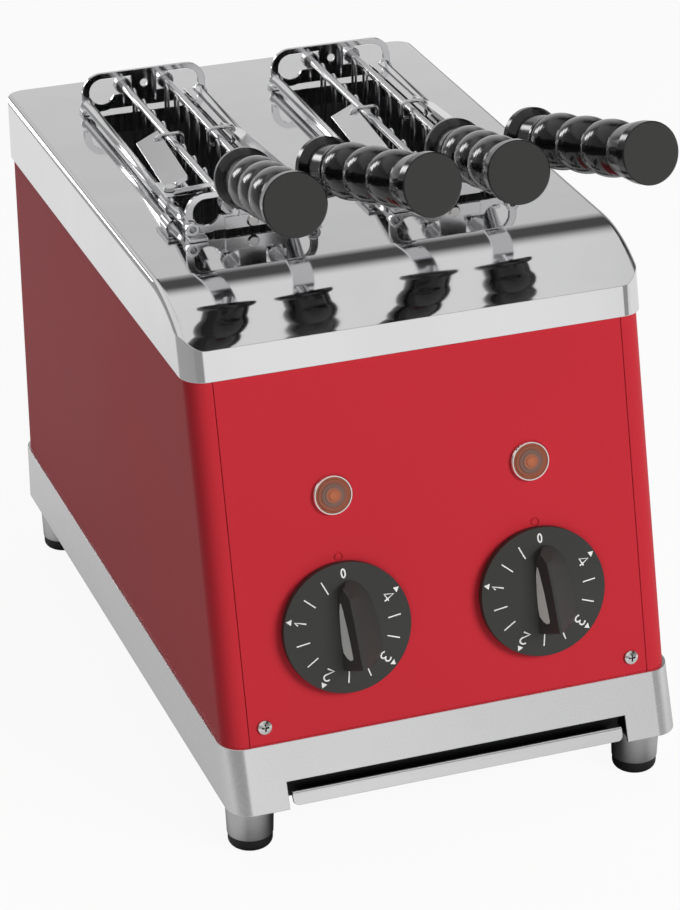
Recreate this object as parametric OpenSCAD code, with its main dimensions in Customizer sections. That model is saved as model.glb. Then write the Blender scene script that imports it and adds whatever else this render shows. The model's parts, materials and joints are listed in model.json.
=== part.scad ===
// Two-slot toaster with lift-out tongs: steel base and cover, lacquered panels, timer dials, crumb tray.
// Millimetres, +Z up, front towards -Y, feet on Z = 0.

/* [Body] */
// Outer width of base and cover
body_w = 200; // [194:1:212]
// Depth of the base from its front edge to the rear
body_d = 325; // [320:1:340]
// Height of the base rim
base_h = 26; // [24:1:30]
// How far the base front flares forward over its height
base_flare = 10; // [7:0.5:12]
// Upright height of the lacquered panels
panel_h = 149; // [146:1:160]
// Lean of the front panel from upright, degrees
lean = 13.75; // [12:0.25:14.5]
// Height of the cover's side lip
cover_h = 28.5; // [27:0.5:31]
// Height of the cover's front lip, below the brow
lip_h = 12.4; // [11:0.2:14]
// Radius of the cover's brow
brow_r = 60.5; // [54:0.5:64]
// Radius of the upright corners
corner_r = 10; // [8:0.5:12]
// Radius of the cover's long top edges
edge_r = 3; // [2:0.5:4]
// Sheet thickness
sheet = 1.2; // [1:0.1:1.4]
// Width of the side panels' returns at front and rear
return_w = 11.4; // [10:0.2:13]

/* [Feet] */
// Height of a steel leg
leg_h = 18; // [15:0.5:22]
// Diameter at the top of a leg
leg_d = 21; // [18:0.5:23]
// Diameter at the bottom of a leg
leg_end_d = 19.5; // [17:0.5:21]
// Height of a rubber tip
tip_h = 6; // [4.5:0.5:8]

/* [Crumb tray] */
// Width of the tray
tray_w = 148; // [140:1:152]
// Length of the tray behind its front lip
tray_len = 280; // [260:1:284]
// Height of the tray walls
tray_h = 7.5; // [6:0.5:8]
// Height of the notch in the base front
notch_h = 10.8; // [10:0.2:12]

/* [Dials and lamps] */
// Distance of dials and lamps from the middle
dial_x = 43.2; // [40:0.2:46]
// Dial centre above the base, along the panel
dial_up = 44; // [40:0.5:50]
// Dial diameter
dial_d = 55; // [48:0.5:58]
// Diameter of a timer spindle
spindle_d = 6; // [5:0.1:7]
// Lamp centre above the base, along the panel
lamp_up = 99.4; // [94:0.2:108]
// Diameter of a lamp bezel
lamp_d = 17; // [15:0.5:20]
// Panel screw centre above the base, along the panel
screw_up = 7.6; // [7:0.2:10]
// Head diameter of a panel screw
screw_d = 5.9; // [5:0.1:6.5]

/* [Slots and tongs] */
// Distance between the two slots
slot_pitch = 90; // [88:0.5:96]
// Width of a slot
slot_w = 44; // [42:0.5:46]
// Front end of a slot
slot_front = -41; // [-44:0.5:-39]
// Rear end of a slot
slot_rear = 116; // [114:0.5:117]
// Corner radius of a slot
slot_r = 4; // [3:0.5:6]
// Diameter of a tong's frame rods
frame_rod_d = 6; // [5:0.2:6.4]
// Half spread of the frame rods
frame_rod_x = 26.5; // [26:0.1:28]
// Diameter of a grid rod
grid_rod_d = 5; // [4.4:0.1:5.2]
// Half spread of the grid rods at rest
grid_rod_x = 10; // [9.6:0.1:10.6]
// Height of the grid rods above the cover
grid_rod_up = 12.6; // [12.4:0.1:13]
// Diameter of a grid wire
wire_d = 2; // [1.6:0.1:2.2]
// Bent wires on a grid
wire_pairs = 10; // [8:1:10]
// Spacing of the bent wires
wire_pitch = 15; // [14:0.1:15.5]
// Gap between the two legs of a bent wire, centre to centre
wire_gap = 4.6; // [4:0.1:5.4]
// Depth of the grid wires below the cover
wire_depth = 112; // [100:1:116]
// Diameter of a clip wire
clip_d = 1.8; // [1.6:0.1:2]
// Where the clip holds the grid rod, front to rear
clip_y = 41; // [40.6:0.1:41.4]
// Thickness of the tong's strip metal
strip_t = 1.8; // [1.5:0.1:2]

/* [Grips] */
// Length of a grip
grip_len = 99; // [92:1:106]
// Largest diameter of a grip
grip_d = 25; // [22:0.5:25.5]
// Diameter of the grooves between the bulges
groove_d = 19; // [17:0.5:20]
// Outward splay of a grip, degrees
grip_splay = 6.4; // [6:0.1:8]
// Upward tilt of a grip, degrees
grip_tilt = 15; // [13:0.5:18]

/* [Fits] */
// Clearance of a turning fit, on the radius
turn_gap = 0.05; // [0.03:0.01:0.09]
// Gap between pieces that slide on each other
slide_gap = 0.3; // [0.25:0.05:0.4]
// Visible seam between two panels
seam_gap = 0.3; // [0.2:0.05:0.5]

/* [Hidden] */
$fn = 64;

half_w = body_w / 2;
z_base = leg_h + tip_h;
z_panel = z_base + base_h;
z_lip = z_panel + panel_h;
z_top = z_lip + cover_h;
y_rear = body_d / 2;
y_front = -body_d / 2;
y_lean = y_front + base_flare;
flare = atan(base_flare / base_h);
y_lip = y_lean + panel_h * tan(lean);
y_crease = y_lip + lip_h * tan(lean);
brow_drop = cover_h - lip_h;
y_brow = y_crease + sqrt(brow_r * brow_r - (brow_r - brow_drop) * (brow_r - brow_drop));
panel_in = sheet + 0.2;
tuck = 6;
seam_x = half_w - return_w;
screw_x = seam_x - 7.1;
deck_t = 1.5;
wall_t = 1.5;
bulk_front = slot_front - 9;
bulk_rear = slot_rear + 8;
tube_d = 10;
tube_off = slot_w / 2 + 9;
tube_over = 6;
tube_low = 40;
tube_pitch = 36;
reflector_gap = 12;
foot_x_in = 13;
foot_y_in = 19;
gland_out = 9;
gland_x = -60;
gland_up = 32;
notch_hw = tray_w / 2 + 1.5;
rail_x = tray_w / 2 - 8;
tray_z = z_base + sheet + slide_gap;
index_up = dial_d / 2 + 1.7;
flank = 71.9;

bracket_front_y = slot_front + 5;
bracket_rear_y = slot_rear + 3;
bracket_t = 1.5;
bracket_hw = frame_rod_x + 2.4;
ring_d = grid_rod_d + 2.6;
window_lo = grid_rod_up - ring_d / 2 - slide_gap;
window_hi = grid_rod_up + ring_d / 2 + slide_gap;
window_in = grid_rod_x - ring_d / 2 - slide_gap;
window_out = bracket_hw - 3.2;
bracket_hi = window_hi + 2.6;
frame_rod_up = frame_rod_d / 2 + 1.6;
saddle_d = frame_rod_d + 2.2;
saddle_hi = frame_rod_up + saddle_d / 2 + 0.2;
pivot_y = -8;
pin_d = 3;
lever_z = saddle_hi + slide_gap;
strip_w = 11;
strip_tilt = 27;
strip_splay = 4;
strip_rear = clip_y - pivot_y + 9;
clip_arm = clip_y - pivot_y;
clip_hole = -9;
clip_lo = grid_rod_up - grid_rod_d / 2 - 0.5 - clip_d / 2;
clip_hi = grid_rod_up + grid_rod_d / 2 + 0.5 + clip_d / 2;
clip_in = grid_rod_x - grid_rod_d / 2 - 0.7 - clip_d / 2 - frame_rod_x;
hook_r = grid_rod_d / 2 + turn_gap + wire_d / 2;
wire_x = grid_rod_x - hook_r;
foot_r = 2;
foot_len = 0.4;
wire_first = clip_y - (floor(wire_pairs / 2) - 0.5) * wire_pitch - 0.5;
wire_rows = [for (i = [0 : wire_pairs - 1]) let (y = wire_first + i * wire_pitch)
  if (y > bracket_front_y + 7 && y < bracket_rear_y - 9) y];
bar_d = 2;
bar_over = wire_gap / 2 + wire_d / 2;
bar_depths = [38, wire_depth - 16];
collar_at = [-9.7, -72, 41.5];
neck_from = [-4, 0, lever_z + strip_t / 2];
neck_run = collar_at - neck_from;
neck_len = norm(neck_run);
neck_yaw = atan2(neck_run[0], -neck_run[1]);
neck_rise = asin(neck_run[2] / neck_len);
grip_dir = [sin(grip_splay) * cos(grip_tilt), -cos(grip_splay) * cos(grip_tilt), sin(grip_tilt)];
cap_edge = 0.6;
cap_y = pivot_y + collar_at[1] + grip_len * grip_dir[1];
y_first = cap_y - (grip_d / 2 - cap_edge) * sqrt(1 - grip_dir[1] * grip_dir[1]);
y_mid = -(y_first + y_rear + gland_out) / 2;

steel = [0.82, 0.82, 0.83];
polished = [0.9, 0.9, 0.91];
red = [0.72, 0.06, 0.09];
dark = [0.17, 0.17, 0.17];
black = [0.04, 0.04, 0.04];

// moves everything so that the origin is under the middle of the whole object
module place() {
  translate([0, y_mid, 0]) children();
}

module front_round(hw, in, r) {
  translate([-hw, in + r]) square([2 * hw, 460]);
  translate([-hw + r, in]) square([2 * (hw - r), r + 1]);
  for (s = [-1, 1]) translate([s * (hw - r), in + r]) circle(r);
}

module rear_round(hw, in, r) {
  translate([-hw, -300]) square([2 * hw, 300 + y_rear - in - r]);
  translate([-hw + r, y_rear - in - r - 1]) square([2 * (hw - r), r + 1]);
  for (s = [-1, 1]) translate([s * (hw - r), y_rear - in - r]) circle(r);
}

module soft_rect(x0, x1, y0, y1, r) {
  translate([x0 + r, y0]) square([x1 - x0 - 2 * r, y1 - y0]);
  translate([x0, y0 + r]) square([x1 - x0, y1 - y0 - 2 * r]);
  for (x = [x0 + r, x1 - r], y = [y0 + r, y1 - r]) translate([x, y]) circle(r);
}

// body outline set in by a margin, leaning at the front, between two heights
module lean_body(in, lo, hi, y_at, z_at, angle) {
  intersection() {
    translate([0, y_at, z_at]) rotate([-angle, 0, 0]) translate([0, 0, -60]) linear_extrude(340)
      front_round(half_w - in, in, corner_r - in);
    translate([0, 0, lo]) linear_extrude(hi - lo) rear_round(half_w - in, in, corner_r - in);
  }
}

module upper_body(in, lo, hi) {
  lean_body(in, lo, hi, y_lean, z_panel, lean);
}

module base_body(in, lo, hi) {
  lean_body(in, lo, hi, y_front, z_base, flare);
}

module in_front(depth) {
  translate([0, y_lean, z_panel]) rotate([-lean, 0, 0]) translate([0, depth, 0]) children();
}

// panel coordinates: x across, y up the slope, z out of the panel's face
module on_panel(x, up) {
  in_front(panel_in) translate([x, 0, up]) rotate([90, 0, 0]) children();
}

module on_rear(x, up) {
  translate([x, y_rear - panel_in, z_panel + up]) rotate([-90, 0, 0]) children();
}

module base_pan() color(steel) place() {
  difference() {
    union() {
      difference() {
        base_body(0, z_base, z_panel);
        base_body(wall_t, z_base - 1, z_panel + 1);
        translate([-notch_hw, y_front - 5, z_base - 1]) cube([2 * notch_hw, 40, notch_h + 1]);
      }
      difference() {
        base_body(0.4, z_panel - sheet, z_panel);
        translate([-half_w + 14, y_lean + 14, z_panel - 5])
          cube([body_w - 28, y_rear - 14 - y_lean - 14, 10]);
      }
      difference() {
        base_body(0.4, z_base, z_base + sheet);
        translate([-rail_x, y_front - 5, z_base - 1]) cube([2 * rail_x, body_d + 10, 10]);
        translate([-notch_hw - 1, y_front - 5, z_base - 1]) cube([2 * notch_hw + 2, 30, 10]);
      }
      for (s = [-1, 1]) translate([s * (notch_hw + 0.6) - 0.6, y_front + 26, z_base])
        cube([1.2, body_d - 44, tray_h + 2.5]);
      translate([-notch_hw, y_front + tray_len + 18, z_base]) cube([2 * notch_hw, 1.2, tray_h + 2.5]);
    }
    for (s = [-1, 1], y = [y_front + foot_y_in, y_rear - foot_y_in])
      translate([s * (half_w - foot_x_in), y, z_base - 1]) cylinder(d = 5, h = 4);
  }
}

module panel_shell(s) {
  intersection() {
    difference() {
      upper_body(panel_in, z_panel, z_lip + tuck);
      upper_body(panel_in + sheet, z_panel - 1, z_lip + tuck + 1);
    }
    translate([s > 0 ? seam_x : -half_w - 10, -300, 0]) cube([return_w + 10, 600, 400]);
  }
  tab = s > 0 ? seam_x - 14 : -seam_x - 5;
  difference() {
    intersection() {
      union() {
        in_front(panel_in + sheet) translate([tab, 0, -5]) cube([19, sheet, panel_h + 20]);
        translate([tab, y_rear - panel_in - 2 * sheet, z_panel]) cube([19, sheet, panel_h + tuck]);
      }
      upper_body(panel_in + sheet, z_panel, z_lip + tuck);
    }
    on_panel(s * screw_x, screw_up) translate([0, 0, -8]) cylinder(d = 3.1, h = 10);
    for (up = [screw_up, panel_h - 12])
      on_rear(s * screw_x, up) translate([0, 0, -8]) cylinder(d = 3.1, h = 10);
  }
}

module side_panel_left() color(red) place() panel_shell(-1);
module side_panel_right() color(red) place() panel_shell(1);

module front_panel() color(red) place() {
  difference() {
    intersection() {
      in_front(panel_in) translate([-seam_x + seam_gap, 0, -5])
        cube([2 * (seam_x - seam_gap), sheet, panel_h + 30]);
      translate([-half_w, -300, z_panel]) cube([body_w, 400, panel_h + tuck]);
    }
    for (s = [-1, 1]) {
      on_panel(s * dial_x, dial_up) translate([0, 0, -5]) cylinder(d = 10, h = 10);
      on_panel(s * dial_x, dial_up + index_up) translate([0, 0, -0.35]) difference() {
        cylinder(d = 3.9, h = 2);
        translate([0, 0, -1]) cylinder(d = 2.7, h = 4);
      }
      on_panel(s * dial_x, lamp_up) translate([0, 0, -5]) cylinder(d = lamp_d - 3, h = 10);
      on_panel(s * screw_x, screw_up) translate([0, 0, -5]) cylinder(d = 3.1, h = 10);
    }
  }
}

module rear_panel() color(red) place() {
  difference() {
    translate([-seam_x + seam_gap, y_rear - panel_in - sheet, z_panel])
      cube([2 * (seam_x - seam_gap), sheet, panel_h + tuck]);
    for (s = [-1, 1], up = [screw_up, panel_h - 12])
      on_rear(s * screw_x, up) translate([0, 0, -5]) cylinder(d = 3.1, h = 10);
    on_rear(gland_x, gland_up) translate([0, 0, -5]) cylinder(d = 16, h = 10);
    for (x = [-45 : 15 : 45], up = [70, 100])
      on_rear(x, up) translate([0, 0, -5]) linear_extrude(10) soft_rect(-2, 2, 0, 22, 1.9);
  }
}

// rounded top edges and brow, a hair wider than the body that it trims
module cover_top(in) {
  er = edge_r - in * 0.8;
  hw = half_w - in + 0.02;
  translate([0, y_rear + 5, 0]) rotate([90, 0, 0]) linear_extrude(y_rear + 5 - y_brow) {
    translate([-hw, z_lip - 20]) square([2 * hw, z_top - in - er - z_lip + 20]);
    translate([-hw + er, z_lip - 20]) square([2 * (hw - er), z_top - in - z_lip + 20]);
    for (s = [-1, 1]) translate([s * (hw - er), z_top - in - er]) circle(er);
  }
  translate([0, y_brow, z_top - brow_r]) rotate([0, -90, 0]) rotate([0, 0, -90])
    rotate_extrude(angle = 90) {
      translate([0, -hw]) square([brow_r - in - er, 2 * hw]);
      translate([0, -hw + er]) square([brow_r - in, 2 * (hw - er)]);
      for (s = [-1, 1]) translate([brow_r - in - er, s * (hw - er)]) circle(er);
    }
}

module cover_solid(in, lo) {
  intersection() {
    upper_body(in, lo, z_top + 5);
    cover_top(in);
  }
}

module slot_hole(grow, lo, hi) {
  for (s = [-1, 1]) translate([s * slot_pitch / 2, 0, lo]) linear_extrude(hi - lo)
    soft_rect(-slot_w / 2 - grow, slot_w / 2 + grow, slot_front - grow, slot_rear + grow, slot_r + grow);
}

module top_cover() color(polished) place() {
  difference() {
    union() {
      difference() {
        cover_solid(0, z_lip);
        cover_solid(sheet, z_lip - 10);
      }
      slot_hole(sheet, z_top - 9, z_top - 0.4);
    }
    slot_hole(0, z_top - 20, z_top + 5);
  }
}

module deck() color(steel) place() {
  difference() {
    translate([-half_w + 4, y_lean + 8, z_panel]) cube([body_w - 8, y_rear - 5 - y_lean - 8, deck_t]);
    slot_hole(-1, z_panel - 5, z_panel + 5);
  }
}

module bulkhead(y) {
  difference() {
    translate([-half_w + 6, y - wall_t / 2, z_panel + deck_t])
      cube([body_w - 12, wall_t, z_top - sheet - z_panel - deck_t]);
    tubes(tube_d + 0.2);
  }
}

module bulkhead_front() color(steel) place() bulkhead(bulk_front);
module bulkhead_rear() color(steel) place() bulkhead(bulk_rear);

module tubes(d) {
  for (s = [-1, 1], k = [-1, 1], i = [0 : 2])
    translate([s * slot_pitch / 2 + k * tube_off, 0, z_panel + tube_low + i * tube_pitch])
      translate([0, bulk_front - tube_over, 0]) rotate([-90, 0, 0])
        cylinder(d = d, h = bulk_rear - bulk_front + 2 * tube_over);
}

module heater_tubes() color([0.93, 0.9, 0.86]) place() tubes(tube_d);

module reflector(x) {
  translate([x - 0.4, bulk_front + wall_t / 2, z_panel + deck_t])
    cube([0.8, bulk_rear - bulk_front - wall_t, z_top - sheet - z_panel - deck_t - reflector_gap]);
}

module reflector_left() color(steel) place() reflector(-slot_pitch / 2 - tube_off - 8);
module reflector_mid() color(steel) place() reflector(0);
module reflector_right() color(steel) place() reflector(slot_pitch / 2 + tube_off + 8);

module at_feet() {
  for (s = [-1, 1], y = [y_front + foot_y_in, y_rear - foot_y_in])
    translate([s * (half_w - foot_x_in), y, 0]) children();
}

module foot_legs() color(steel) place() at_feet() {
  translate([0, 0, tip_h]) cylinder(d1 = leg_end_d, d2 = leg_d, h = leg_h);
  translate([0, 0, z_base - 1]) cylinder(d = 4.8, h = 1 + sheet + 2);
}

module foot_tips() color(black) place() at_feet() rotate_extrude() {
  r = leg_end_d / 2 - 0.3;
  square([r - 3, tip_h]);
  translate([0, 3]) square([r, tip_h - 3]);
  translate([r - 3, 3]) circle(3);
}

module screw() {
  difference() {
    union() {
      intersection() {
        cylinder(d = screw_d, h = 1.9);
        translate([0, 0, 1.9 - 5]) sphere(5);
      }
      translate([0, 0, -4.5]) cylinder(d = 3, h = 5);
    }
    for (a = [0, 90]) rotate([0, 0, a]) translate([-1.6, -0.35, 0.8]) cube([3.2, 0.7, 3]);
  }
}

module panel_screws() color(steel) place() {
  for (s = [-1, 1]) {
    on_panel(s * screw_x, screw_up) screw();
    for (up = [screw_up, panel_h - 12]) on_rear(s * screw_x, up) screw();
  }
}

module timer(s) {
  on_panel(s * dial_x, dial_up) difference() {
    union() {
      translate([-22, -22, -sheet - 32]) cube([44, 44, 32]);
      translate([0, 0, -sheet - 1]) cylinder(d = 9.6, h = sheet + 1.2);
    }
    translate([0, 0, -14]) cylinder(d = spindle_d + 2 * turn_gap, h = 20);
  }
}

module timer_left() color(steel) place() timer(-1);
module timer_right() color(steel) place() timer(1);

module at_lamps() {
  for (s = [-1, 1]) on_panel(s * dial_x, lamp_up) children();
}

module lamp_bezels() color(polished) place() at_lamps() difference() {
  union() {
    cylinder(d = lamp_d, h = 1.2);
    translate([0, 0, 1.2]) cylinder(d1 = lamp_d, d2 = lamp_d - 0.8, h = 0.6);
    translate([0, 0, -16]) cylinder(d = lamp_d - 3.1, h = 16.5);
  }
  translate([0, 0, -14]) cylinder(d = lamp_d - 4.4, h = 20);
  translate([0, 0, 0.6]) cylinder(d = lamp_d - 1.8, h = 5);
}

// stepped lens: rings that fall towards the rim, round a middle button
module lamp_lenses() color([0.85, 0.4, 0.2]) place() at_lamps() {
  translate([0, 0, -14]) cylinder(d = lamp_d - 4.5, h = 15);
  translate([0, 0, 0.6]) cylinder(d = lamp_d - 1.9, h = 0.9);
  for (i = [0 : 3]) translate([0, 0, 1.4])
    cylinder(d1 = lamp_d - 3.2 - 3 * i, d2 = lamp_d - 4 - 3 * i, h = 0.4 + 0.22 * i);
}

module cable_gland() color(black) place() on_rear(gland_x, gland_up) difference() {
  union() {
    translate([0, 0, -sheet - 6]) cylinder(d = 15.8, h = sheet + 8);
    cylinder(d = 22, h = 3);
    translate([0, 0, 3]) cylinder(d1 = 18, d2 = 15, h = gland_out + panel_in - 3);
  }
  translate([0, 0, -20]) cylinder(d = 9, h = 60);
}

module terminal_block() color([0.9, 0.88, 0.82]) place() {
  translate([gland_x - 20, bulk_rear + wall_t / 2 + 4, z_panel + deck_t]) difference() {
    cube([40, 14, 16]);
    for (i = [0 : 2]) translate([8 + 12 * i, 7, 9]) cylinder(d = 5, h = 10);
  }
}

module crumb_tray() color(steel) place() {
  hw = tray_w / 2;
  difference() {
    translate([-hw, y_front + 8, tray_z]) cube([tray_w, tray_len, tray_h]);
    translate([-hw + 1, y_front + 9.2, tray_z + 1]) cube([tray_w - 2, tray_len - 2.2, tray_h]);
  }
  translate([0, y_front, z_base]) rotate([-flare, 0, 0]) translate([0, 0.4, 0]) {
    rotate([90, 0, 0]) mirror([0, 0, 1]) linear_extrude(1.2) {
      soft_rect(-hw + 0.5, hw - 0.5, 1, 6.2, 2.5);
      translate([-hw + 0.5, 3.6]) square([tray_w - 1, 2.6]);
    }
    translate([-hw + 0.6, 1.12, 6]) rotate([0, 90, 0]) cylinder(d = 2.4, h = tray_w - 1.2);
  }
  translate([-hw + 4, y_front + 1.5, tray_z]) cube([tray_w - 8, 8, 1]);
}

// base outline of the dial's fin: swept right side, round lower end, straight steep side
fin_outline = concat([for (a = [0 : 3 : 90]) [0.6 + 13.2 * pow(sin(a), 0.9), -8 + 28 * cos(a)]],
  [for (a = [6 : 6 : 90]) [5 + 8.8 * cos(a), -8 - 10 * sin(a)]],
  [[-3.6, -17.4], [-4.2, -15], [-4.2, 12], [-3.65, 14.4], [-1.6, 17.3]]);

// ridge of the fin as places up the dial and heights, on the steep side
fin_ridge = [[17.6, 5], [14.2, 8.6], [4.8, 10.4], [-14.5, 13.2]];

module fin() {
  hull() {
    linear_extrude(0.5) polygon(fin_outline);
    for (p = fin_ridge) translate([-4.2 + p[1] / tan(flank), p[0] - 0.3, p[1] - 0.3]) cube([1.2, 0.6, 0.3]);
  }
}

module knob(s) {
  on_panel(s * dial_x, dial_up) difference() {
    union() {
      translate([0, 0, 0.8]) cylinder(d = dial_d, h = 3.4);
      translate([0, 0, 4.2]) cylinder(d1 = dial_d - 0.8, d2 = 26, h = 1.8);
      translate([0, 0, 5.2]) scale(dial_d / 55) fin();
      translate([0, 0, -12]) cylinder(d = spindle_d, h = 14);
    }
    on_flank() translate([0, 0, -0.5]) linear_extrude(4) insert_shape(0.05);
  }
}

// seat of the light insert, on the fin's steep side
module on_flank() {
  translate([0, 0, 5.2]) scale(dial_d / 55) translate([-4.2, 0, 0]) rotate([0, -flank, 0]) rotate([0, 0, -90])
    children();
}

module insert_shape(grow) {
  polygon([[-11.9 - grow, 2.6 - grow], [-8, 1.6 - grow], [0, 1.2 - grow], [6, 1.3 - grow],
    [9.4, 1.8 - grow], [11.4 + grow, 4.2], [12 + grow, 6.2], [11.4 + grow, 7.8 + grow], [10.4, 8.1 + grow],
    [4, 7 + grow], [-2, 5.8 + grow], [-8, 4.3 + grow], [-11.6 - grow, 3.3 + grow]]);
}

module knob_insert(s) {
  on_panel(s * dial_x, dial_up) on_flank() translate([0, 0, -0.5]) linear_extrude(0.62) insert_shape(0);
}

module knob_left() color(dark) place() knob(-1);
module knob_right() color(dark) place() knob(1);
module knob_insert_left() color([0.75, 0.75, 0.72]) place() knob_insert(-1);
module knob_insert_right() color([0.75, 0.75, 0.72]) place() knob_insert(1);

module at_tong(t) {
  place() translate([t * slot_pitch / 2, 0, z_top]) children();
}

module at_side(m) {
  if (m < 0) mirror([1, 0, 0]) children();
  else children();
}

// window for a grid rod's ring: straight floor, rounded outer corner
module window_2d() {
  r = 6;
  translate([window_in, window_lo]) square([window_out - window_in - r, window_hi - window_lo]);
  translate([window_in, window_lo]) square([window_out - window_in, window_hi - window_lo - r]);
  translate([window_out - r, window_hi - r]) circle(r);
}

module bracket_2d() {
  r = 9;
  difference() {
    union() {
      translate([-bracket_hw, 2]) square([2 * bracket_hw, bracket_hi - 2 - r]);
      translate([-bracket_hw + r, 2]) square([2 * (bracket_hw - r), bracket_hi - 2]);
      for (m = [-1, 1]) {
        translate([m * (bracket_hw - r), bracket_hi - r]) circle(r);
        translate([m * (bracket_hw - 4) - 4, slide_gap]) square([8, 4]);
      }
    }
    window_2d();
    mirror([1, 0]) window_2d();
    for (m = [-1, 1]) translate([m * frame_rod_x, frame_rod_up]) circle(d = frame_rod_d + 0.1);
  }
}

module bracket(y, face) {
  translate([0, y, 0]) {
    rotate([90, 0, 0]) translate([0, 0, -bracket_t / 2]) difference() {
      linear_extrude(bracket_t) bracket_2d();
      if (face > 0) translate([0, grid_rod_up, -1]) cylinder(d = 3.6, h = 5);
      else translate([0, frame_rod_up, -1]) cylinder(d = 3.1, h = 5);
    }
    for (m = [-1, 1]) translate([m * (bracket_hw - 4) - 4, face > 0 ? 0 : -6, slide_gap]) cube([8, 6, 1.2]);
    difference() {
      translate([-12, face > 0 ? 0 : -bracket_t / 2 - 0.8, 2]) cube([24, bracket_t / 2 + 0.8, window_lo - 3]);
      translate([0, 5, frame_rod_up]) rotate([90, 0, 0]) cylinder(d = 3.1, h = 10);
    }
  }
}

module frame_rods() {
  for (m = [-1, 1]) translate([m * frame_rod_x, bracket_front_y - 3, frame_rod_up]) rotate([-90, 0, 0])
    difference() {
      cylinder(d = frame_rod_d, h = bracket_rear_y - bracket_front_y + 5);
      translate([0, 0, -1]) cylinder(d = 3, h = 8);
    }
}

module saddles() {
  for (m = [-1, 1]) translate([m * frame_rod_x, pivot_y, 0]) difference() {
    union() {
      translate([0, -5, frame_rod_up]) rotate([-90, 0, 0]) cylinder(d = saddle_d, h = 10);
      translate([-3.2, -5, frame_rod_up]) cube([6.4, 10, saddle_hi - frame_rod_up]);
      translate([0, 0, saddle_hi - 1]) cylinder(d = pin_d, h = 2 + strip_t + 2 * slide_gap);
      translate([0, 0, lever_z + strip_t + slide_gap]) cylinder(d1 = 6, d2 = 5, h = 1.4);
    }
    translate([0, -9, frame_rod_up]) rotate([-90, 0, 0]) cylinder(d = frame_rod_d + 0.1, h = 20);
  }
}

module rivet() {
  translate([0, bracket_front_y - bracket_t / 2 - 0.8, frame_rod_up]) rotate([90, 0, 0]) {
    cylinder(d1 = 5.4, d2 = 4, h = 1.2);
    translate([0, 0, -bracket_t - 2]) cylinder(d = 3, h = bracket_t + 2.5);
  }
}

module stay() {
  translate([frame_rod_x - 7.8, bracket_front_y + bracket_t / 2, lever_z - 3])
    cube([3.4, bracket_rear_y - bracket_front_y - bracket_t, 1.2]);
}

// one bent wire: a hook over the rod at each end, two legs, and a foot turned in under the bread
module hairpin(y) {
  for (k = [-1, 1]) translate([0, y + k * wire_gap / 2, 0]) {
    translate([wire_x, 0, -wire_depth]) cylinder(d = wire_d, h = wire_depth + grid_rod_up);
    translate([grid_rod_x, 0, grid_rod_up]) rotate([90, 0, 0]) rotate([0, 0, 90])
      rotate_extrude(angle = 90) translate([hook_r, 0]) circle(d = wire_d);
    translate([grid_rod_x, 0, grid_rod_up + hook_r]) rotate([0, 90, 0]) cylinder(d = wire_d, h = 1.6);
    translate([wire_x - foot_r, 0, -wire_depth]) rotate([90, 0, 0]) rotate([0, 0, -90])
      rotate_extrude(angle = 90) translate([foot_r, 0]) circle(d = wire_d);
    translate([wire_x - foot_r - foot_len, 0, -wire_depth - foot_r]) rotate([0, 90, 0])
      cylinder(d = wire_d, h = foot_len);
  }
  translate([wire_x - foot_r - foot_len, y, -wire_depth - foot_r]) rotate([0, 0, 90])
    rotate_extrude(angle = 180) translate([wire_gap / 2, 0]) circle(d = wire_d);
}

// the bent wires and the two bars along their outer side
module grid() {
  $fn = 24;
  for (y = wire_rows) hairpin(y);
  for (depth = bar_depths)
    translate([wire_x + wire_d / 2 + turn_gap + bar_d / 2, wire_rows[0] - bar_over, -depth])
      rotate([-90, 0, 0])
        cylinder(d = bar_d, h = wire_rows[len(wire_rows) - 1] - wire_rows[0] + 2 * bar_over);
}

module grid_rod() {
  translate([grid_rod_x, bracket_front_y - 10, grid_rod_up]) rotate([-90, 0, 0])
    cylinder(d = grid_rod_d, h = bracket_rear_y - bracket_front_y + 13);
  for (y = [bracket_front_y, bracket_rear_y]) translate([grid_rod_x, y - 2, grid_rod_up])
    rotate([-90, 0, 0]) cylinder(d = ring_d, h = 4);
}

module lever() {
  translate([frame_rod_x, pivot_y, 0]) difference() {
    union() {
      translate([-8.5, -7, lever_z]) cube([12.5, 17, strip_t]);
      rotate([0, 0, strip_splay]) translate([1, 2, lever_z]) rotate([0, strip_tilt, 0])
        translate([-strip_w, 0, 0]) cube([strip_w, strip_rear - 2, strip_t]);
      translate(neck_from) rotate([0, 0, neck_yaw]) rotate([-neck_rise, 0, 0]) {
        translate([-4.5, -neck_len, -strip_t / 2]) cube([9, neck_len, strip_t]);
        translate([-4.5, -19.5, -3.2]) cube([strip_t, 7.5, 3.2]);
      }
      translate(collar_at) rotate([0, 90 - grip_tilt, grip_splay - 90])
        translate([0, 0, -9]) cylinder(d = 6, h = 49);
    }
    translate([0, 0, lever_z - 5]) cylinder(d = pin_d + 2 * turn_gap, h = 5 + strip_t + 0.01);
    translate([0, 0, lever_z + strip_t]) cylinder(d = 8, h = 8);
    translate([clip_hole, clip_arm, 0]) cylinder(d = clip_d + 0.4, h = 30);
  }
}

module clip() {
  r = 2;
  translate([frame_rod_x, pivot_y + clip_arm, 0]) rotate([90, 0, 0]) {
    for (x = [clip_in, clip_hole]) translate([x, clip_lo + r, 0]) rotate([-90, 0, 0])
      cylinder(d = clip_d, h = clip_hi - clip_lo - 2 * r);
    for (z = [clip_lo, clip_hi]) translate([clip_in + r, z, 0]) rotate([0, 90, 0])
      cylinder(d = clip_d, h = clip_hole - clip_in - 2 * r);
    translate([clip_in + r, clip_lo + r, 0]) rotate([0, 0, 180]) bend(r);
    translate([clip_hole - r, clip_lo + r, 0]) rotate([0, 0, 270]) bend(r);
    translate([clip_hole - r, clip_hi - r, 0]) bend(r);
    translate([clip_in + r, clip_hi - r, 0]) rotate([0, 0, 90]) bend(r);
  }
}

module bend(r) {
  rotate_extrude(angle = 90) translate([r, 0]) circle(d = clip_d);
}

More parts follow.
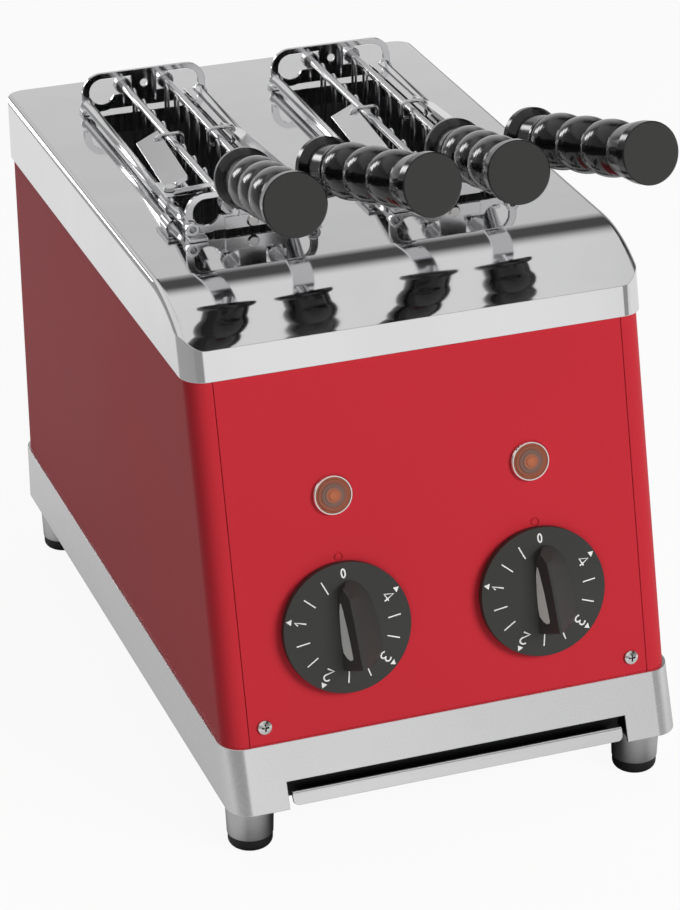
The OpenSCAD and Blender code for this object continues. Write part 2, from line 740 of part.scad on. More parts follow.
// grip radius at a distance from its collar: flange, neck, three bulges, flared end
function grip_r(t) = let (u = t / grip_len, g = groove_d / 2, b = grip_d / 2)
  u < 0.045 ? b : u < 0.06 ? b - 1 : u < 0.17 ? g + 0.4 :
  u < 0.8 ? g + (b - 0.9 - g) * pow(abs(sin(180 * (u - 0.17) / 0.21)), 0.75) :
  u < 0.95 ? g + (b - g) * pow((u - 0.8) / 0.15, 0.7) : b;

module grip() {
  translate([frame_rod_x, pivot_y, 0]) translate(collar_at) rotate([0, 90 - grip_tilt, grip_splay - 90])
    difference() {
      rotate_extrude() polygon(concat([[0, 0]], [for (i = [0 : 66]) let (t = i * (grip_len - cap_edge) / 66)
        [grip_r(t), t]], [[grip_d / 2 - cap_edge, grip_len], [0, grip_len]]));
      translate([0, 0, -1]) cylinder(d = 6.1, h = 42);
    }
}

module bracket_front_left() color(polished) at_tong(-1) bracket(bracket_front_y, -1);
module bracket_rear_left() color(polished) at_tong(-1) bracket(bracket_rear_y, 1);
module frame_rods_left() color(polished) at_tong(-1) frame_rods();
module saddles_left() color(polished) at_tong(-1) saddles();
module rivet_left() color(steel) at_tong(-1) rivet();
module stay_left() color(polished) at_tong(-1) stay();
module grid_left_outer() color(steel) at_tong(-1) at_side(-1) grid();
module grid_rod_left_outer() color(steel) at_tong(-1) at_side(-1) grid_rod();
module grid_left_inner() color(steel) at_tong(-1) at_side(1) grid();
module grid_rod_left_inner() color(steel) at_tong(-1) at_side(1) grid_rod();
module lever_left_outer() color(polished) at_tong(-1) at_side(-1) lever();
module lever_left_inner() color(polished) at_tong(-1) at_side(1) lever();
module clip_left_outer() color(polished) at_tong(-1) at_side(-1) clip();
module clip_left_inner() color(polished) at_tong(-1) at_side(1) clip();
module grip_left_outer() color(black) at_tong(-1) at_side(-1) grip();
module grip_left_inner() color(black) at_tong(-1) at_side(1) grip();

module bracket_front_right() color(polished) at_tong(1) bracket(bracket_front_y, -1);
module bracket_rear_right() color(polished) at_tong(1) bracket(bracket_rear_y, 1);
module frame_rods_right() color(polished) at_tong(1) frame_rods();
module saddles_right() color(polished) at_tong(1) saddles();
module rivet_right() color(steel) at_tong(1) rivet();
module stay_right() color(polished) at_tong(1) stay();
module grid_right_outer() color(steel) at_tong(1) at_side(1) grid();
module grid_rod_right_outer() color(steel) at_tong(1) at_side(1) grid_rod();
module grid_right_inner() color(steel) at_tong(1) at_side(-1) grid();
module grid_rod_right_inner() color(steel) at_tong(1) at_side(-1) grid_rod();
module lever_right_outer() color(polished) at_tong(1) at_side(1) lever();
module lever_right_inner() color(polished) at_tong(1) at_side(-1) lever();
module clip_right_outer() color(polished) at_tong(1) at_side(1) clip();
module clip_right_inner() color(polished) at_tong(1) at_side(-1) clip();
module grip_right_outer() color(black) at_tong(1) at_side(1) grip();
module grip_right_inner() color(black) at_tong(1) at_side(-1) grip();

base_pan();
side_panel_left();
side_panel_right();
front_panel();
rear_panel();
top_cover();
deck();
bulkhead_front();
bulkhead_rear();
reflector_left();
reflector_mid();
reflector_right();
heater_tubes();
foot_legs();
foot_tips();
panel_screws();
timer_left();
timer_right();
lamp_bezels();
lamp_lenses();
cable_gland();
terminal_block();
crumb_tray();
knob_left();
knob_right();
knob_insert_left();
knob_insert_right();
bracket_front_left();
bracket_rear_left();
frame_rods_left();
saddles_left();
rivet_left();
stay_left();
grid_left_outer();
grid_rod_left_outer();
grid_left_inner();
grid_rod_left_inner();
lever_left_outer();
lever_left_inner();
clip_left_outer();
clip_left_inner();
grip_left_outer();
grip_left_inner();
bracket_front_right();
bracket_rear_right();
frame_rods_right();
saddles_right();
rivet_right();
stay_right();
grid_right_outer();
grid_rod_right_outer();
grid_right_inner();
grid_rod_right_inner();
lever_right_outer();
lever_right_inner();
clip_right_outer();
clip_right_inner();
grip_right_outer();
grip_right_inner();
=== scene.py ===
"""Looks of a two-slot toaster with lift-out tongs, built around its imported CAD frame. Metres, +Z up."""
import json
import math

import bpy
import bmesh
from mathutils import Matrix, Vector

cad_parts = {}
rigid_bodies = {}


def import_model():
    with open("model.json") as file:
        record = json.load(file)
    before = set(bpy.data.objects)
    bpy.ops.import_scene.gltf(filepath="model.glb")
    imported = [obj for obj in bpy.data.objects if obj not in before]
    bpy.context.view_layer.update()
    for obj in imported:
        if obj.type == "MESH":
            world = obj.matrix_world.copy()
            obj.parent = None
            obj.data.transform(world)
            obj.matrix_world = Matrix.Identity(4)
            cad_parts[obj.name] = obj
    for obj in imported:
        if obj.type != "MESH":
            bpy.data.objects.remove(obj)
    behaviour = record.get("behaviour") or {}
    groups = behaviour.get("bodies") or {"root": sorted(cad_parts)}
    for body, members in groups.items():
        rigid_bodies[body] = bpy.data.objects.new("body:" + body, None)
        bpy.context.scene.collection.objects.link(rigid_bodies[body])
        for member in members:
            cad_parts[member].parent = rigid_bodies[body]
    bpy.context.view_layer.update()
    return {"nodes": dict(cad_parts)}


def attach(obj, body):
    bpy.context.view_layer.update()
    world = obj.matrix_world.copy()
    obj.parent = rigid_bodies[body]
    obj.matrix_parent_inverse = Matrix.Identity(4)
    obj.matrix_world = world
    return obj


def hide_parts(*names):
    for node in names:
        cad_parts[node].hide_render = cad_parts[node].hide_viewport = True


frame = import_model()
nodes = frame["nodes"]
scene = bpy.context.scene
MM = 0.001
HANDS = ((-1, "left"), (1, "right"))

# sizes shared with the CAD source, in millimetres
SHIFT_Y = 3.433
PANEL_FOOT_Y = -152.5 + SHIFT_Y
PANEL_FOOT_Z = 50.0
PANEL_LEAN = math.radians(13.75)
PANEL_INSET = 1.4
DIAL_X = 43.2
DIAL_UP = 44.0
DIAL_RIM_R = 27.1
DIAL_CORE_R = 13.0
DIAL_RIM_Z = 4.2
DIAL_CORE_Z = 6.0
LAMP_UP = 99.4
LAMP_D = 17.0
BASE_FRONT_Y = -162.5 + SHIFT_Y
BASE_FOOT_Z = 24.0
BASE_FLARE = math.atan(10 / 26)
LIP_DEPTH = 2.6
COVER_TOP_Z = 227.5
SLOT_X = 45.0
TUBE_COUNT = 12
TUBE_LEVELS = 3
TUBE_OFF = 31.0
TUBE_FIRST_Z = 90.0
TUBE_STEP_Z = 36.0
TUBE_FRONT_Y = -56.0 + SHIFT_Y
TUBE_LENGTH = 186.0
PIVOT_X = 26.5
PIVOT_Y = -8.0 + SHIFT_Y
COLLAR_AT = (-9.7, -72.0, 41.5)
GRIP_LENGTH = 99.0
GRIP_SPLAY = math.radians(6.4)
GRIP_TILT = math.radians(15)
# tong sizes, in millimetres from the middle of a slot at the cover's top
FRAME_ROD_D, FRAME_ROD_FIT_D, FRAME_ROD_BORE, FRAME_ROD_BORE_DEPTH = 4.4, 6.0, 3.0, 7.0
FRAME_ROD_X, FRAME_ROD_Z, FRAME_ROD_FRONT_REACH = 26.5, 4.6, 3.0
FRAME_ROD_SEAT, FRAME_ROD_CONE, FRAME_ROD_EDGE = 2.0, 1.0, 0.3
GRID_ROD_D, GRID_ROD_X, GRID_ROD_Z = 3.6, 10.0, 12.6
RING_D, RING_WIDTH, RING_EDGE = 7.6, 4.0, 0.4
ROD_EDGE, ROD_FRONT_REACH, ROD_REAR_REACH = 0.5, 10.0, 3.0
WIRE_D, WIRE_GAP, WIRE_DEPTH, WIRE_SEAT = 1.2, 4.6, 112.0, 0.05
WIRE_CROWN_DROP, WIRE_FOOT_R, WIRE_FOOT_REACH = 1.2, 2.4, 2.4
WIRE_FIRST_Y, WIRE_STEP_Y, WIRE_ROWS = -27.0, 15.0, 10
BAR_D, BAR_DEPTHS = 1.4, (38.0, 96.0)
BRACKET_FRONT_Y, BRACKET_REAR_Y, SADDLE_Y, SADDLE_HALF = -36.0, 119.0, -8.0, 5.0
# print on a dial, in millimetres from its axis
MARK_STEP = math.radians(25)
STEPS_PER_NUMBER = 3
TICK_COUNT, TICK_R, TICK_LENGTH, TICK_WIDTH = 8, 20.2, 5.8, 0.52
ARROW_COUNT, ARROW_R, ARROW_REACH = 4, 25.5, 1.5
NUMBER_R, NUMBER_TALL = 21.0, 4.9
ZERO_R, ZERO_TALL = 23.2, 3.4
STROKE_R, STROKE_FLATNESS = 0.36, 0.12
PRINT_THICK, PRINT_LIFT = 0.08, 0.03
# heater coils, in millimetres
COIL_R, COIL_WIRE_R, COIL_TURNS = 2.6, 0.45, 46.0

SAME_POINT = 1e-6
SHARP_EDGE = math.radians(40)


class Wire:
    """A shader socket that can be used in Python expressions."""

    def __init__(self, finish, socket):
        self.finish = finish
        self.socket = socket

    def math(self, operation, *values):
        return self.finish.add("ShaderNodeMath", {"operation": operation}, dict(enumerate(values)))

    def __add__(self, other):
        return self.math("ADD", self, other)

    def __radd__(self, other):
        return self.math("ADD", other, self)

    def __sub__(self, other):
        return self.math("SUBTRACT", self, other)

    def __rsub__(self, other):
        return self.math("SUBTRACT", other, self)

    def __mul__(self, other):
        return self.math("MULTIPLY", self, other)

    def __rmul__(self, other):
        return self.math("MULTIPLY", other, self)

    def __truediv__(self, other):
        return self.math("DIVIDE", self, other)

    def __gt__(self, other):
        return self.math("GREATER_THAN", self, other)

    def __abs__(self):
        return self.math("ABSOLUTE", self)

    def root(self):
        return self.math("SQRT", self)

    def at_least(self, other):
        return self.math("MAXIMUM", self, other)

    def at_most(self, other):
        return self.math("MINIMUM", self, other)

    def smooth(self, low, high):
        return self.finish.add("ShaderNodeMapRange", {"interpolation_type": "SMOOTHSTEP"},
                               {"Value": self, "From Min": low, "From Max": high})

    def range(self, low, high, to_low, to_high):
        return self.finish.add("ShaderNodeMapRange", {},
                               {"Value": self, "From Min": low, "From Max": high,
                                "To Min": to_low, "To Max": to_high})


class Finish:
    """A node-based material, floor or sky under construction."""

    def __init__(self, name, world=False):
        owner = bpy.data.worlds.new(name) if world else bpy.data.materials.new(name)
        owner.use_nodes = True
        self.owner = owner
        self.tree = owner.node_tree
        self.tree.nodes.clear()

    def add(self, kind, settings=None, sockets=None, out=0):
        node = self.tree.nodes.new(kind)
        for key, value in (settings or {}).items():
            if key == "stops":
                ramp = node.color_ramp
                while len(ramp.elements) < len(value):
                    ramp.elements.new(1.0)
                for element, (place, shade) in zip(ramp.elements, value):
                    element.position = place
                    element.color = rgb(*shade)
            else:
                setattr(node, key, value)
        for key, value in (sockets or {}).items():
            if isinstance(value, Wire):
                self.tree.links.new(value.socket, node.inputs[key])
            else:
                node.inputs[key].default_value = value
        return Wire(self, node.outputs[out]) if node.outputs else None

    def spot(self):
        """Object coordinates."""
        return self.add("ShaderNodeTexCoord", out="Object")

    def place(self, scale=(1, 1, 1), turn=(0, 0, 0)):
        """Object coordinates, turned and stretched."""
        return self.add("ShaderNodeMapping", {}, {"Vector": self.spot(), "Scale": scale, "Rotation": turn})

    def part(self, vector, axis):
        return self.add("ShaderNodeSeparateXYZ", {}, {0: vector}, out=axis)

    def along(self, vector, axis):
        """How far a vector reaches along an axis."""
        return self.add("ShaderNodeVectorMath", {"operation": "DOT_PRODUCT"}, {0: vector, 1: axis}, out="Value")

    def ray(self, kind):
        """1 where this kind of ray looks."""
        return self.add("ShaderNodeLightPath", out=f"Is {kind} Ray")

    def noise(self, vector, scale, detail=3.0, rough=0.5):
        return self.add("ShaderNodeTexNoise", {},
                        {"Vector": vector, "Scale": scale, "Detail": detail, "Roughness": rough})

    def mix(self, factor, low, high):
        return self.add("ShaderNodeMix", {"data_type": "RGBA"}, {0: factor, 6: low, 7: high}, out=2)

    def soft_edge(self, radius):
        return self.add("ShaderNodeBevel", {"samples": 4}, {"Radius": radius})

    def bump(self, height, strength, distance, normal=None):
        sockets = {"Height": height, "Strength": strength, "Distance": distance}
        if normal is not None:
            sockets["Normal"] = normal
        return self.add("ShaderNodeBump", {}, sockets)

    def surface(self, **sockets):
        names = {key.replace("_", " "): value for key, value in sockets.items()}
        shader = self.add("ShaderNodeBsdfPrincipled", {}, names)
        self.add("ShaderNodeOutputMaterial", {}, {"Surface": shader})
        return self.owner


def rgb(red, green, blue):
    return (red, green, blue, 1.0)


def grey(tone):
    return rgb(tone, tone, tone)


def shaded(tone, share):
    return rgb(*[c * share for c in tone])


def brushed(name, tone, gloss, along, grain=1.0, edge=0.4 * MM, painted_shade_mask=None):
    """Ground sheet metal: fine lines along one axis, faint smears; painted shade, dark and rougher, where the
    mask gives 1.
    """
    f = Finish(name)
    stretch = [900, 900, 900]
    stretch["xyz".index(along)] = 14
    lines = f.noise(f.place(scale=stretch), scale=1.0, detail=4.0, rough=0.65)
    smears = f.noise(f.place(), scale=16.0, rough=0.55)
    colour = f.mix(lines.range(0.3, 0.7, 0, 1), shaded(tone, 0.93), rgb(*tone))
    rough = gloss + 0.10 * grain * lines + 0.10 * smears - 0.09
    if painted_shade_mask:
        # painted shade: near black and rougher where the mask is 1, standing in for the unlit inside behind the
        # lip
        painted_shade = painted_shade_mask(f)
        colour = f.mix(painted_shade, colour, rgb(0.045, 0.045, 0.046))
        rough = rough + 0.30 * painted_shade
    return f.surface(Base_Color=colour, Metallic=1.0, Roughness=rough,
                     Normal=f.bump(lines, strength=0.10 * grain, distance=0.05 * MM, normal=f.soft_edge(edge)))


def behind_lip(f):
    """1 on the tray's pan behind the leaning lip, where painted shade goes, and 0 on the lip itself."""
    inwards = Vector((0, math.cos(BASE_FLARE), -math.sin(BASE_FLARE)))
    foot = Vector((0, BASE_FRONT_Y, BASE_FOOT_Z)).dot(inwards)
    return f.along(f.spot(), inwards) / MM - foot > LIP_DEPTH


def screw_bright(name, tone, gloss):
    """Bright screw metal with painted shade, from ambient occlusion, in its cross recess and at its foot."""
    f = Finish(name)
    wipes = f.noise(f.place(), scale=300.0, rough=0.6)
    open_sky = f.add("ShaderNodeAmbientOcclusion", {"samples": 6}, {"Distance": 1.2 * MM}, out="AO")
    # painted shade: near black where ambient occlusion finds the recess or the panel close by
    colour = f.mix(open_sky.smooth(0.45, 0.85), grey(0.02), rgb(*tone))
    return f.surface(Base_Color=colour, Metallic=1.0, Roughness=gloss + 0.08 * wipes,
                     Normal=f.soft_edge(0.2 * MM))


def polished(name, tone, gloss, smear=0.05, edge=0.35 * MM):
    """Bright metal: nearly mirror, with faint wipes and hairlines."""
    f = Finish(name)
    wipes = f.noise(f.place(scale=(1, 1.6, 1), turn=(0, 0, 0.5)), scale=22.0, detail=4.0, rough=0.6)
    hair = f.noise(f.place(scale=(700, 30, 700), turn=(0.2, 0.1, 0.3)), scale=1.0, detail=2.0)
    colour = f.mix(wipes.range(0.35, 0.7, 0, 1), shaded(tone, 0.96), rgb(*tone))
    return f.surface(Base_Color=colour, Metallic=1.0,
                     Roughness=gloss + smear * wipes.smooth(0.45, 0.8) + 0.015 * hair,
                     Normal=f.bump(hair, strength=0.02, distance=0.02 * MM, normal=f.soft_edge(edge)))


def lacquer(name, tone):
    """Satin metallic lacquer on sheet: fine flake, slight orange peel, cloudy depth."""
    f = Finish(name)
    flake = f.noise(f.place(), scale=2600.0, detail=1.0)
    peel = f.noise(f.place(), scale=420.0, detail=2.0)
    cloud = f.noise(f.place(), scale=9.0, detail=2.0)
    depth = cloud.range(0.3, 0.7, 0, 0.5) + flake.range(0.3, 0.7, 0, 0.5)
    return f.surface(Base_Color=f.mix(depth, shaded(tone, 0.90), rgb(*tone)), Metallic=0.16,
                     Specular_IOR_Level=0.2, Roughness=0.44 + 0.08 * flake + 0.05 * cloud,
                     Normal=f.bump(peel, strength=0.05, distance=0.05 * MM, normal=f.soft_edge(0.4 * MM)))


def moulded(name, tone, gloss, grain, edge=0.4 * MM):
    """Moulded plastic or rubber with a fine skin."""
    f = Finish(name)
    skin = f.noise(f.place(), scale=1500.0, detail=2.0, rough=0.6)
    haze = f.noise(f.place(), scale=40.0)
    colour = f.mix(haze.range(0.3, 0.7, 0, 1), shaded(tone, 0.88), rgb(*tone))
    return f.surface(Base_Color=colour, Roughness=gloss + 0.08 * haze + 0.05 * skin,
                     Normal=f.bump(skin, strength=grain, distance=0.05 * MM, normal=f.soft_edge(edge)))


def grip_black(name, end_at, along):
    """Gloss black moulding whose flat outer end is matt and a little greyer."""
    f = Finish(name)
    spot = f.spot()
    end = f.along(spot, along) > (end_at.dot(along) - 0.15 * MM)
    haze = f.noise(spot, scale=60.0)
    skin = f.noise(spot, scale=1400.0, detail=2.0, rough=0.6)
    colour = f.mix(end, grey(0.010), rgb(0.028, 0.028, 0.027))
    rough = 0.09 + 0.05 * haze + end * (0.36 + 0.1 * skin)
    return f.surface(Base_Color=colour, Roughness=rough,
                     Normal=f.bump(skin * (0.15 + end), strength=0.05, distance=0.05 * MM))


# colours of a lamp's lens, from its middle to its rim
AMBER_STOPS = [(0.0, (0.62, 0.17, 0.06)), (0.30, (0.46, 0.13, 0.055)), (0.40, (0.25, 0.13, 0.10)),
               (0.54, (0.20, 0.11, 0.085)), (0.62, (0.30, 0.09, 0.045)), (0.90, (0.36, 0.085, 0.035))]


def amber(name):
    """Clear amber moulding over a bright cup."""
    f = Finish(name)
    slope = Vector((0, math.sin(PANEL_LEAN), math.cos(PANEL_LEAN)))
    foot = Vector((0, PANEL_FOOT_Y, PANEL_FOOT_Z)).dot(slope)
    spot = f.spot()
    across = abs(f.part(spot, "X")) / MM - DIAL_X
    up = f.along(spot, slope) / MM - (foot + LAMP_UP)
    ring = (across * across + up * up).root() / (LAMP_D / 2)
    cloud = f.noise(spot, scale=260.0, detail=2.0)
    colour = f.add("ShaderNodeValToRGB", {"stops": AMBER_STOPS}, {0: ring + 0.10 * (cloud - 0.5)})
    return f.surface(Base_Color=colour, Roughness=0.14 + 0.1 * cloud, IOR=1.5, Transmission_Weight=0.25)


def quartz(name):
    """Fused quartz tube, slightly milky."""
    f = Finish(name)
    bubbles = f.noise(f.place(), scale=500.0, detail=2.0)
    colour = f.mix(bubbles, rgb(0.93, 0.91, 0.88), rgb(0.86, 0.84, 0.82))
    return f.surface(Base_Color=colour, Roughness=0.12 + 0.1 * bubbles, Transmission_Weight=0.8, IOR=1.46)


def ink(name):
    """White printed marks, slightly uneven."""
    f = Finish(name)
    patch = f.noise(f.place(), scale=900.0, detail=2.0)
    colour = f.mix(patch, rgb(0.78, 0.78, 0.77), rgb(0.9, 0.9, 0.89))
    return f.surface(Base_Color=colour, Roughness=0.45 + 0.15 * patch)


red = lacquer("red_lacquer", (0.60, 0.029, 0.043))
base_steel = brushed("satin_steel_base", (0.86, 0.86, 0.865), gloss=0.27, along="y", grain=0.7)
tray_steel = brushed("satin_steel_tray", (0.84, 0.84, 0.845), gloss=0.25, along="x", grain=0.5, painted_shade_mask=behind_lip)
plain_sheet = brushed("plated_sheet", (0.60, 0.60, 0.61), gloss=0.36, along="z")
leg_steel = brushed("satin_steel_leg", (0.66, 0.66, 0.665), gloss=0.30, along="x")
timer_metal = brushed("timer_case", (0.62, 0.62, 0.63), gloss=0.34, along="x")
cover_steel = polished("polished_cover", (0.84, 0.84, 0.85), gloss=0.05)
bright = polished("bright_tong_steel", (0.82, 0.82, 0.83), gloss=0.09, smear=0.10)
wire_steel = polished("drawn_wire_steel", (0.74, 0.74, 0.75), gloss=0.17, smear=0.12, edge=0.15 * MM)
ring_chrome = polished("lamp_ring_chrome", (0.83, 0.76, 0.72), gloss=0.08, edge=0.2 * MM)
coil_metal = polished("heater_coil", (0.50, 0.49, 0.47), gloss=0.32, smear=0.1, edge=0.1 * MM)
screw_steel = screw_bright("screw_steel", (0.84, 0.83, 0.81), gloss=0.16)
rubber = moulded("foot_rubber", (0.010, 0.010, 0.010), gloss=0.40, grain=0.2)
charcoal = moulded("dial_charcoal", (0.036, 0.036, 0.033), gloss=0.50, grain=0.25)
insert_grey = moulded("dial_insert_grey", (0.86, 0.88, 0.83), gloss=0.42, grain=0.1, edge=0.2 * MM)
gland_black = moulded("gland_black", (0.03, 0.03, 0.03), gloss=0.45, grain=0.15)
terminal_white = moulded("terminal_white", (0.75, 0.73, 0.68), gloss=0.45, grain=0.1)
lens_amber = amber("lamp_amber")
tube_quartz = quartz("heater_quartz")
mark_ink = ink("dial_mark_ink")


def grip_frame(tong, side):
    """Centre of a grip's outer end and the direction that it points."""
    turn = Vector((side * math.sin(GRIP_SPLAY) * math.cos(GRIP_TILT),
                   -math.cos(GRIP_SPLAY) * math.cos(GRIP_TILT), math.sin(GRIP_TILT)))
    collar = Vector((tong * SLOT_X + side * (PIVOT_X + COLLAR_AT[0]), PIVOT_Y + COLLAR_AT[1],
                     COVER_TOP_Z + COLLAR_AT[2]))
    return (collar + GRIP_LENGTH * turn) * MM, turn


def wear(material, *names):
    for name in names:
        for slot in nodes[name].material_slots:
            slot.material = material


def jaws(tong):
    """Both jaws of a tong: the side that each one faces, and its name."""
    return ((tong, "outer"), (-tong, "inner"))


wear(base_steel, "base_pan")
wear(tray_steel, "crumb_tray")
wear(leg_steel, "foot_legs")
wear(rubber, "foot_tips")
wear(red, "side_panel_left", "side_panel_right", "front_panel", "rear_panel")
wear(cover_steel, "top_cover")
wear(plain_sheet, "deck", "bulkhead_front", "bulkhead_rear")
wear(plain_sheet, "reflector_left", "reflector_mid", "reflector_right")
wear(tube_quartz, "heater_tubes")
wear(screw_steel, "panel_screws", "rivet_left", "rivet_right")
wear(timer_metal, "timer_left", "timer_right")
wear(ring_chrome, "lamp_bezels")
wear(lens_amber, "lamp_lenses")
wear(gland_black, "cable_gland")
wear(terminal_white, "terminal_block")
wear(charcoal, "knob_left", "knob_right")
wear(insert_grey, "knob_insert_left", "knob_insert_right")
for tong, hand in HANDS:
    wear(bright, f"bracket_front_{hand}", f"bracket_rear_{hand}", f"frame_rods_{hand}", f"saddles_{hand}",
         f"stay_{hand}")
    for side, place in jaws(tong):
        wear(bright, f"lever_{hand}_{place}")
        wear(wire_steel, f"grid_{hand}_{place}", f"grid_rod_{hand}_{place}", f"clip_{hand}_{place}")
        wear(grip_black(f"grip_black_{hand}_{place}", *grip_frame(tong, side)), f"grip_{hand}_{place}")


def frozen(holder):
    """Plain mesh of an object as its curve or modifiers shape it; the object itself goes."""
    scene.collection.objects.link(holder)
    seen = bpy.context.evaluated_depsgraph_get()
    made = bpy.data.meshes.new_from_object(holder.evaluated_get(seen))
    bpy.data.objects.remove(holder)
    return made


class Tree:
    """A geometry node tree with named inputs."""

    def __init__(self, name):
        self.tree = bpy.data.node_groups.new(name, "GeometryNodeTree")
        self.tree.interface.new_socket("Geometry", in_out="OUTPUT", socket_type="NodeSocketGeometry")
        self.ids = {}
        self.entry = self.tree.nodes.new("NodeGroupInput")
        self.exit = self.tree.nodes.new("NodeGroupOutput")

    def size(self, name):
        socket = self.tree.interface.new_socket(name, in_out="INPUT", socket_type="NodeSocketFloat")
        self.ids[name] = socket.identifier
        return self.entry.outputs[socket.identifier]

    def add(self, kind, sockets=None, operation=None):
        node = self.tree.nodes.new(kind)
        if operation:
            node.operation = operation
        for key, value in (sockets or {}).items():
            if isinstance(value, bpy.types.NodeSocket):
                self.tree.links.new(value, node.inputs[key])
            else:
                node.inputs[key].default_value = value
        return node.outputs[0]

    def math(self, operation, *values):
        return self.add("ShaderNodeMath", dict(enumerate(values)), operation)

    def sign(self, odd):
        """-1 for 0 and 1 for 1."""
        return self.math("SUBTRACT", self.math("MULTIPLY", odd, 2.0), 1.0)

    def round_spot(self, angle, radius):
        """Place at an angle round the axis, anticlockwise from the top."""
        return self.add("ShaderNodeCombineXYZ", {
            0: self.math("MULTIPLY", self.math("MULTIPLY", self.math("SINE", angle), radius), -1.0),
            1: self.math("MULTIPLY", self.math("COSINE", angle), radius)})

    def copies(self, count, spot, shape, material, angle=None):
        """Ends the tree with copies of a shape, one at each spot, turned by the angle."""
        row = self.add("GeometryNodeMeshLine", {"Count": count, "Offset": (0, 0, 0)})
        sockets = {"Points": self.add("GeometryNodeSetPosition", {"Geometry": row, "Position": spot}),
                   "Instance": shape}
        if angle is not None:
            sockets["Rotation"] = self.add("ShaderNodeCombineXYZ", {2: angle})
        real = self.add("GeometryNodeRealizeInstances", {0: self.add("GeometryNodeInstanceOnPoints", sockets)})
        dressed = self.add("GeometryNodeSetMaterial", {"Geometry": real, "Material": material})
        self.tree.links.new(dressed, self.exit.inputs[0])

    def mesh(self, name, values):
        """A plain mesh made by the tree with these sizes."""
        holder = bpy.data.objects.new(name, bpy.data.meshes.new(name))
        maker = holder.modifiers.new("maker", "NODES")
        maker.node_group = self.tree
        for key, value in values.items():
            maker[self.ids[key]] = value
        return frozen(holder)


def add_piece(name, mesh, body, replaced=()):
    mesh.name = name
    piece = bpy.data.objects.new(name, mesh)
    scene.collection.objects.link(piece)
    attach(piece, body)
    if replaced:
        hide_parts(*replaced)
    return piece


def panel_place(x, up):
    """Matrix from a spot on the front panel (across, up the slope, outwards; millimetres) to the object."""
    s, c = math.sin(PANEL_LEAN), math.cos(PANEL_LEAN)
    spot = Vector((x, PANEL_FOOT_Y + PANEL_INSET * c + up * s, PANEL_FOOT_Z - PANEL_INSET * s + up * c))
    return Matrix(((MM, 0, 0, spot.x * MM), (0, s * MM, -c * MM, spot.y * MM),
                   (0, c * MM, s * MM, spot.z * MM), (0, 0, 0, 1)))


def tick_tree():
    """Ticks on a dial: two between each pair of numbers."""
    t = Tree("dial_ticks")
    radius, length, width, thick = (t.size(n) for n in ("Radius", "Length", "Width", "Thickness"))
    step = t.size("Step")
    index = t.add("GeometryNodeInputIndex")
    pair = t.math("FLOOR", t.math("MULTIPLY", index, 0.5))
    odd = t.math("MODULO", index, 2.0)
    steps = t.math("ADD", t.math("MULTIPLY", pair, STEPS_PER_NUMBER), t.math("ADD", odd, 1.0))
    angle = t.math("MULTIPLY", steps, step)
    size = t.add("ShaderNodeCombineXYZ", {0: width, 1: length, 2: thick})
    bar = t.add("GeometryNodeMeshCube", {"Size": size, "Vertices Y": 6})
    t.copies(TICK_COUNT, t.round_spot(angle, radius), bar, mark_ink, angle)
    return t


def arrow_tree():
    """Small wedges at a dial's rim, one by each number above 0."""
    t = Tree("dial_arrows")
    radius, reach, thick = (t.size(n) for n in ("Radius", "Reach", "Thickness"))
    step = t.size("Step")
    angle = t.math("MULTIPLY", t.math("ADD", t.add("GeometryNodeInputIndex"), 1.0), step)
    wedge = t.add("GeometryNodeMeshCylinder", {"Vertices": 3, "Radius": reach, "Depth": thick})
    upright = t.add("GeometryNodeTransform", {"Geometry": wedge, "Rotation": (0, 0, math.radians(90))})
    t.copies(ARROW_COUNT, t.round_spot(angle, radius), upright, mark_ink, angle)
    return t


def coil_tree():
    """Heater coils: one wound wire down the middle of each tube."""
    t = Tree("heater_coils")
    length, coil_r, wire_r, turns = (t.size(n) for n in ("Length", "Coil Radius", "Wire Radius", "Turns"))
    slot_x, tube_off, step_z = (t.size(n) for n in ("Slot X", "Tube Offset", "Step Z"))
    winding = t.add("GeometryNodeCurveSpiral", {"Resolution": 10, "Rotations": turns, "Start Radius": coil_r,
                                                "End Radius": coil_r, "Height": length})
    section = t.add("GeometryNodeCurvePrimitiveCircle", {"Resolution": 5, "Radius": wire_r})
    coil = t.add("GeometryNodeCurveToMesh", {"Curve": winding, "Profile Curve": section, "Fill Caps": True})
    lying = t.add("GeometryNodeTransform", {"Geometry": coil, "Rotation": (math.radians(-90), 0, 0)})
    index = t.add("GeometryNodeInputIndex")
    level = t.math("MODULO", index, TUBE_LEVELS)
    column = t.math("FLOOR", t.math("DIVIDE", index, TUBE_LEVELS))
    slot_sign = t.sign(t.math("FLOOR", t.math("DIVIDE", column, 2.0)))
    side_sign = t.sign(t.math("MODULO", column, 2.0))
    spot = t.add("ShaderNodeCombineXYZ", {
        0: t.math("ADD", t.math("MULTIPLY", slot_sign, slot_x), t.math("MULTIPLY", side_sign, tube_off)),
        2: t.math("MULTIPLY", level, step_z)})
    t.copies(TUBE_COUNT, spot, lying, coil_metal)
    return t


def dial_height(radius):
    """Height of the dial's slightly conical face above the panel, in millimetres."""
    share = (DIAL_RIM_R - radius) / (DIAL_RIM_R - DIAL_CORE_R)
    return DIAL_RIM_Z + (DIAL_CORE_Z - DIAL_RIM_Z) * min(max(share, 0.0), 1.0)


def arc(x, y, across, up, start, stop, steps=14):
    """Points of an elliptical arc; angles in degrees, anticlockwise from +x."""
    turns = [math.radians(start + (stop - start) * i / steps) for i in range(steps + 1)]
    return [(x + across * math.cos(a), y + up * math.sin(a)) for a in turns]


